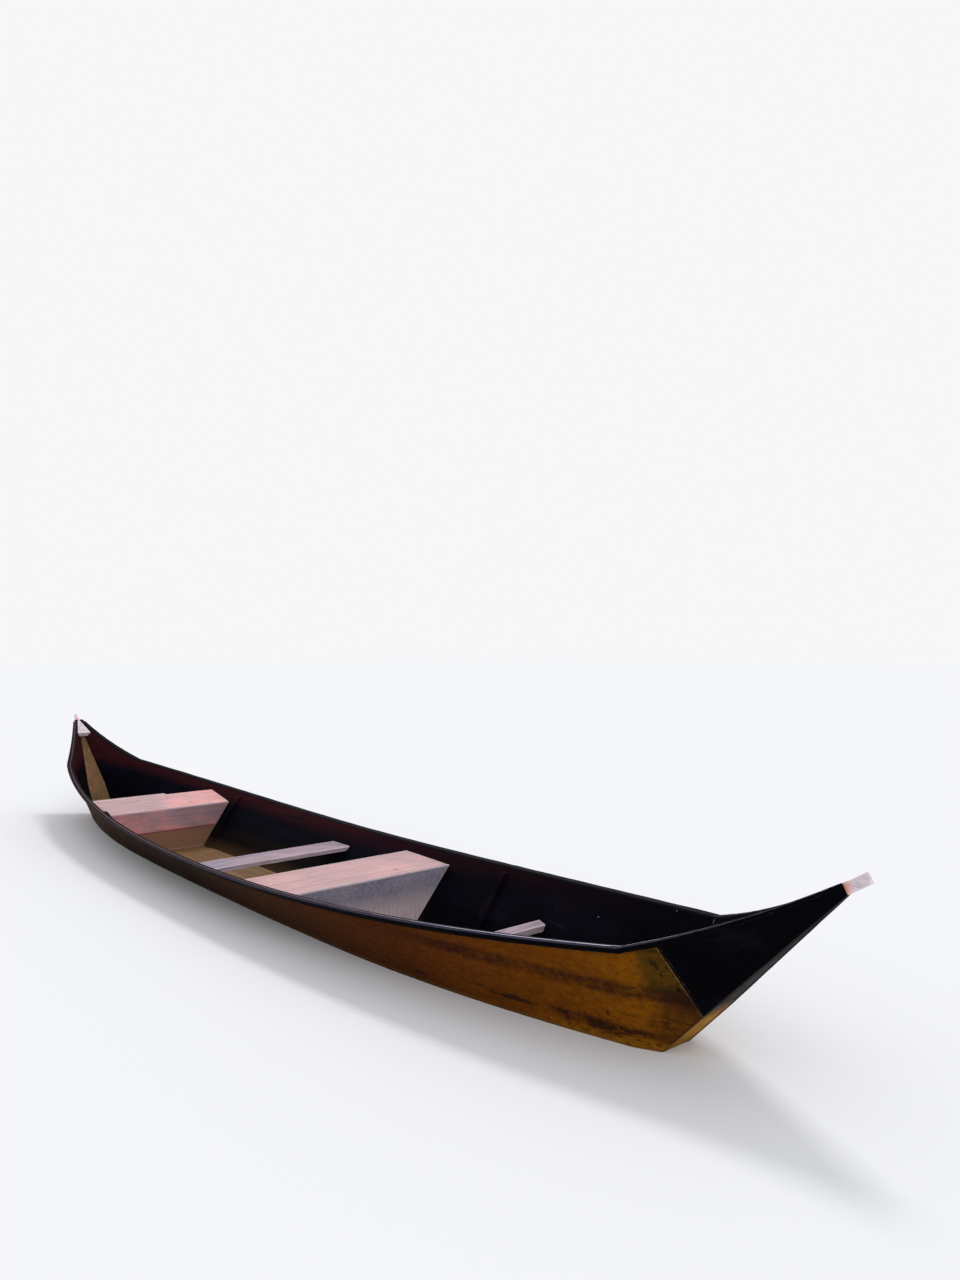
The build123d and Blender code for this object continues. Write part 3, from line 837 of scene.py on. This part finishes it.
# Thwart on its cleats, and the low beam across the bow.
thwart = dict(aft=-0.165, fore=0.038, z=0.265, thick=0.027, round=0.004)
cleat = dict(deep=0.040, wide=0.026, short=0.005, round=0.003, gap=0.0004, inset=0.002,
             shares=(0, 0.06, 0.5, 0.94, 1))
beam = dict(aft=1.931, fore=1.991, z=(0.250, 0.242), thick=0.033, round=0.004)
cleatTop = thwart["z"] - thwart["thick"]
crossBoard("thwart", "mauve_paint", "thwart", 120, thwart["aft"], thwart["fore"], thwart["z"], cleatTop,
           thwart["round"])
crossBoard("bow_beam", "mauve_paint", "thwart", 124, beam["aft"], beam["fore"], beam["z"],
           np.array(beam["z"]) - beam["thick"], beam["round"], 4)
xs, zs, wear = boardSection(thwart["aft"] + cleat["short"], thwart["fore"] - cleat["short"], cleatTop,
                            cleatTop - cleat["deep"], cleat["round"], 5)
inner = innerHalf(np.zeros(1), np.array([cleatTop]))[0] - cleat["wide"]
y = along(inner, innerHalf(xs, zs, cleat["gap"]), np.array(cleat["shares"])[:, None])
points = np.stack(np.broadcast_arrays(xs, y, zs), -1)
for side, sy in bothSides:
    planed("thwart_cleat_" + side, "mauve_paint", points * (1, sy, 1), wear, ("inner",), cleat["inset"])
print("thwart and beam laid")

# Bottom boards: three long boards between the sides.
bottom = dict(thick=0.024, seamY=0.087, gap=0.0006, sideGap=0.0004, least=0.002, thin=0.01, round=0.002,
              inset=0.001, stations=110, endX=2.9515, sideEndX=2.862)


def bottomBoard(node, endX, sy, seed):
    # Section in y and z carried along x; sy is the side of the seam, or 0 for the centre board.
    f, e, g, h, wear, _ = roundedRing([bottom["round"]] * 4, (10, 1, 10, 1), 3)
    x = doubled(np.linspace(-endX, endX, bottom["stations"]))[:, None] + 0 * g
    z = np.broadcast_to(g * bottom["thick"] + h, x.shape)
    reach, start = innerHalf(x, z, bottom["sideGap"]), bottom["seamY"] + bottom["gap"]
    if sy:
        y = along(start, np.maximum(reach, start + bottom["least"]), f)
        y = (y + e * np.clip((reach - start) / bottom["thin"], 0, 1)) * sy
    else:
        reach = np.minimum(reach, bottom["seamY"] - bottom["gap"])
        y = -reach + 2 * reach * f + e
    points = np.stack([x, y, z - wave(x * 2 + y * 5, 0.0005, seed) * (g == 1)], -1)
    planed(node, "bottom_paint", points, wear, ("bottom",), bottom["inset"])


bottomBoard("bottom_board_centre", bottom["endX"], 0, 130)
bottomBoard("bottom_board_port", bottom["sideEndX"], 1, 134)
bottomBoard("bottom_board_starboard", bottom["sideEndX"], -1, 138)

# Ramps: the raked ends of the bottom, between the sides and then between the prow boards.
ramp = dict(thick=0.022, topX=3.640, rise=509 / 489, stations=60, round=0.0015, inset=0.001, gap=0.0005,
            least=0.002, lean=0.02, footWall=plank * 1.066)
f, e, g, h, wear, face = roundedRing([ramp["round"]] * 4, (8, 1, 8, 1), 3)
lift = g * ramp["thick"] * math.hypot(1, ramp["rise"]) + h
share = doubled(np.linspace(0, 1, ramp["stations"]))[:, None]
seamX, _, seamZ = hull["seamFoot"]
x = along(footX, ramp["topX"], share) + lift * ramp["lean"]
w = (x - footX) / (seamX - footX)
z = np.where(x < seamX, w * seamZ, seamZ + (x - seamX) * ramp["rise"]) + lift
w = np.clip(w, 0, 1)
low, high = edges(1 + w)
rootHalf = along(low[..., 1], high[..., 1], shareAt(1 + w, z)) - along(ramp["footWall"], prowWall, w)
reach = np.where(x < seamX, rootHalf, np.maximum(prowHalf(x, z) - prowWall, ramp["least"])) - ramp["gap"]
points = np.stack([x, reach * (2 * f - 1) + e, z], -1)
for end, sx in bothEnds:
    planed("ramp_" + end, "bottom_paint", points * (sx, 1, 1), wear, ("bottom", "rake"), ramp["inset"],
           (face == 0).astype(int))
print("bottom laid")

# Stem heads: wedge-shaped where the prow boards hold them, then a tongue.
stem = dict(slope=math.radians(33), deep=0.038, half=0.010, out=0.092, held=0.190, step=0.004, round=0.003,
            gap=0.0006, least=0.001, thin=0.004, stations=16)
f, e, g, h, wear, _ = roundedRing([stem["round"]] * 4, (2, 6, 2, 6), 4)
run = [np.linspace(a, b, stem["stations"]) for a, b in ((-stem["held"], -stem["step"]), (0, stem["out"]))]
run, up = doubled(np.concatenate(run))[:, None], g * stem["deep"] + h
x = hull["tipFoot"][0] + run * math.cos(stem["slope"]) - up * math.sin(stem["slope"])
z = hull["tipFoot"][2] + run * math.sin(stem["slope"]) + up * math.cos(stem["slope"])
wedge = np.maximum(prowHalf(x, z) - prowWall - stem["gap"], stem["least"])
half = np.where(run < 0, wedge, stem["half"])
points = np.stack([x, half * (2 * f - 1) + e * np.minimum(1, half / stem["thin"]), z], -1)
for end, sx in bothEnds:
    planed("stem_head_" + end, "bare_wood", points * (sx, 1, 1), wear, ("stem",), stem["round"])
print("stem heads set")

# Pitch: an uneven bead along each prow seam, with a radius that a sum of sines changes.
bead = dict(radius=0.0017, sides=8, stations=90, sink=0.0006, low=0.02, high=0.90, taper=0.02)
share = np.linspace(bead["low"], bead["high"], bead["stations"])
taper = np.clip(np.minimum(share - bead["low"], bead["high"] - share) / bead["taper"], 0.1, 1)
turn = np.linspace(0, 2 * math.pi, bead["sides"], endpoint=False)[:, None]
for end, side, sx, sy in quarters:
    seam, _, _ = skin(np.full_like(share, 2.0), share)
    seam[:, 0] += wave(share * 9, 0.0009, 150 + sx + sy)
    seam[:, 1] -= bead["sink"]
    thick = bead["radius"] * (1 + wave(share * 14, 0.40, 160 + sx * 2 + sy)) * taper
    run = (seam[-1] - seam[0]) / np.linalg.norm(seam[-1] - seam[0])
    across = np.cross(run, (0, 1, 0))
    across /= np.linalg.norm(across)
    spokes = np.cos(turn) * across + np.sin(turn) * np.cross(across, run)
    points = (seam[:, None] + thick[:, None, None] * spokes) * (sx, sy, 1)
    finish(addMesh(f"pitch_seam_{end}_{side}", points, 0.0, ("pitch",)), "black_paint")
print("seams payed")

# Nails: up both sides of every butt and prow seam, along the chine and the foot of the prow, and in the seats
# and the thwart. Rows are from, to and count.
nails = dict(
    radius=0.0036, proud=0.0009, sides=9, fromEdge=0.012, chine=(-0.985, 0.985, 46), chineShare=0.03,
    buttShares=(0.10, 0.28, 0.46, 0.64, 0.80), rootV=1.93, rootRow=(0.08, 0.84, 9), prowV=2.06,
    prowRow=(0.08, 0.80, 8), footRow=(2.2, 2.8, 6), footShare=0.10, seatIn=0.010, seatSide=0.035,
    thwartIn=0.04, thwartSide=0.016,
)


def nailHeads(name, places, slot, seed, paint="nail"):
    # Domed heads: rings of radius r and height h about each nail's axis, r = radius * (1, 0.92, 0.55)
    # and h = proud * (-1, 0.35, 0.9), closed by a point at proud; heads differ a little in size and rise.
    rng = np.random.default_rng(seed)
    at, out = (np.concatenate(k) for k in zip(*places))
    out = out / np.linalg.norm(out, axis=-1, keepdims=True)
    count, sides = len(at), nails["sides"]
    helper = np.where(np.abs(out[:, 2:]) > 0.8, (1.0, 0.0, 0.0), (0.0, 0.0, 1.0))
    a = np.cross(out, helper)
    a /= np.linalg.norm(a, axis=-1, keepdims=True)
    b = np.cross(out, a)
    size = nails["radius"] * rng.uniform(0.85, 1.15, (count, 1, 1, 1))
    rise = nails["proud"] * rng.uniform(0.7, 1.1, (count, 1, 1, 1))
    turn = np.linspace(0, 2 * math.pi, sides, endpoint=False)[None, None, :, None]
    r, h = (np.array(k)[None, :, None, None] for k in ((1, 0.92, 0.55), (-1, 0.35, 0.9)))
    spokes = np.cos(turn) * a[:, None, None] + np.sin(turn) * b[:, None, None]
    rings = at[:, None, None] + size * r * spokes + rise * h * out[:, None, None]
    points = np.concatenate([rings.reshape(count, -1, 3), (at + rise[:, 0, 0] * out)[:, None]], 1)
    j = np.arange(sides)
    fan = np.stack([2 * sides + j, 2 * sides + (j + 1) % sides, np.full(sides, 3 * sides)], -1)
    start = np.arange(count)[:, None, None] * (3 * sides + 1)
    polygons = (ringFaces(3, sides) + start).reshape(-1, 4).tolist() + (fan + start).reshape(-1, 3).tolist()
    mesh = newMesh(name, points, polygons + (j[::-1] + start[:, 0]).tolist())
    mesh.attributes.new("wear", "FLOAT", "POINT")
    mesh.shade_smooth()
    mesh.materials.append(paints[paint])
    mesh.validate()
    finish(newObject(name, mesh), slot)


def skinNails(v, t, *flip):
    # Places and outward directions on the planking at stations v and shares t, from its own slopes.
    v, t = np.broadcast_arrays(np.atleast_1d(v), t)
    here, _, _ = skin(v, t)
    out = np.cross(skin(v, t + 0.01)[0] - here, skin(v + 0.002, t)[0] - here)
    out *= np.sign(out[:, 1:2])
    return here * (*flip, 1), out * (*flip, 1)


near = nails["fromEdge"] / kneeX
for side, sy in bothSides:
    places = [skinNails(np.linspace(*nails["chine"]), nails["chineShare"], 1, sy)]
    for sx in (1, -1):
        places += [skinNails(v, np.array(nails["buttShares"]), sx, sy) for v in (butt - near, butt + near)]
        places.append(skinNails(nails["rootV"], np.linspace(*nails["rootRow"]), sx, sy))
    nailHeads("nail_heads_side_" + side, places, "ochre_paint", 170 + sy)
    places = [skinNails(sx * nails["prowV"], np.linspace(*nails["prowRow"]), 1, sy) for sx in (1, -1)]
    places += [skinNails(sx * np.linspace(*nails["footRow"]), nails["footShare"], 1, sy) for sx in (1, -1)]
    nailHeads("nail_heads_prow_" + side, places, "black_paint", 174 + sy, "black")
rows = []
for at in seats.values():
    aft, fore = at["aft"], at["fore"]
    slope = (at["zFore"] - at["zAft"]) / (fore - aft)
    for x, count in ((aft + nails["seatIn"], 5), (fore - panel / 2, 5), ((aft + fore) / 2, 2)):
        rows.append((x, at["zAft"] + slope * (x - aft), slope, count, nails["seatSide"]))
for x in (thwart["aft"] + nails["thwartIn"], thwart["fore"] - nails["thwartIn"]):
    rows.append((x, thwart["z"], 0.0, 2, nails["thwartSide"]))
places = []
for x, z, slope, count, fromSide in rows:
    half = innerHalf(np.array([x]), np.array([z]))[0] - fromSide
    y = np.linspace(-half, half, count)
    places.append((np.stack(np.broadcast_arrays(x, y, z), -1), np.tile((-slope, 0.0, 1.0), (count, 1))))
nailHeads("nail_heads_seats", places, "mauve_paint", 180)
print("nails driven")

# Camera: level, at a standing height over the water, turned to the photograph's heading.
eye = dict(place=(5.278, -2.835, 1.634), heading=math.radians(40.27), lens=26.9, shift=-0.0005)
s, c = math.sin(eye["heading"]), math.cos(eye["heading"])
right = Vector((s, c, -water["heel"] * c - water["trim"] * s)).normalized()
up = Vector((water["trim"], water["heel"], 1)).normalized()
back = right.cross(up).normalized()
up = back.cross(right)
camera = newObject("camera", bpy.data.cameras.new("camera"))
camera.data.lens, camera.data.shift_y = eye["lens"], eye["shift"]
camera.matrix_world = Matrix.Translation(eye["place"]) @ Matrix((right, up, back)).transposed().to_4x4()
scene.camera = camera

# Floor at the waterline, open inside the hull: rings that grow from its outline to a wide circle.
floor = dict(stations=120, endV=1.46, perV=3.0, squash=5, inside=0.008, rings=24, growth=3, wide=60.0,
             pale=(0.84, 0.84, 0.85, 1.0), rough=0.9)


def waterZ(x, y):
    return water["z"] - water["trim"] * (x - water["x"]) - water["heel"] * y


v = np.linspace(0, floor["endV"], floor["stations"])
outline = []
for sx, sy in ((1, 1), (-1, 1), (-1, -1), (1, -1)):
    share = shareAt(v, waterZ(sx * v * floor["perV"], 0))
    point = along(*edges(v), share[:, None])[share >= 0] * (sx, sy, 1)
    point[:, 1] -= floor["inside"] * sy
    outline.append(point)
loop = np.concatenate(outline)[:, :2]
angle = np.arctan2(loop[:, 1], loop[:, 0] / floor["squash"])
loop, angle = loop[np.argsort(angle)], np.sort(angle)
circle = np.stack([np.cos(angle), np.sin(angle)], -1) * floor["wide"]
xy = along(loop, circle, (np.linspace(0, 1, floor["rings"]) ** floor["growth"])[:, None, None])
points = np.concatenate([xy, waterZ(xy[..., :1], xy[..., 1:])], -1)
ground = newObject("floor", newMesh("floor", points, ringFaces(floor["rings"], len(loop))[:, ::-1].tolist()))
paper = bpy.data.materials.new("paleFloor")
paper.use_nodes = True
shader = paper.node_tree.nodes["Principled BSDF"].inputs
for key, value in (("Base Color", floor["pale"]), ("Roughness", floor["rough"]), ("Specular IOR Level", 0.0)):
    shader[key].default_value = value
ground.data.materials.append(paper)

# Plain light: an even pale sky, a soft lamp from beyond the port quarter and a weaker one from ahead.
light = dict(sky=(0.72, 0.73, 0.76, 1.0), seen=(0.93, 0.93, 0.94, 1.0))
lamps = dict(
    key=dict(energy=1.0, soft=math.radians(12), towards=(0.45, -0.55, -1.0)),
    fill=dict(energy=0.8, soft=math.radians(30), towards=(-0.85, 0.30, -0.45)),
)
scene.world = bpy.data.worlds.new("studio")
scene.world.use_nodes = True
inHand["tree"] = scene.world.node_tree
sky = inHand["tree"].nodes["Background"].inputs
sky["Strength"].default_value = 1.0
feed(sky["Color"], mix(put("LightPath").outputs["Is Camera Ray"], light["sky"], light["seen"]))
for name, at in lamps.items():
    lamp = newObject(name, bpy.data.lights.new(name, "SUN"))
    lamp.data.energy, lamp.data.angle = at["energy"], at["soft"]
    lamp.rotation_euler = Vector(at["towards"]).to_track_quat("-Z", "Y").to_euler()
print("camera, floor and light set")
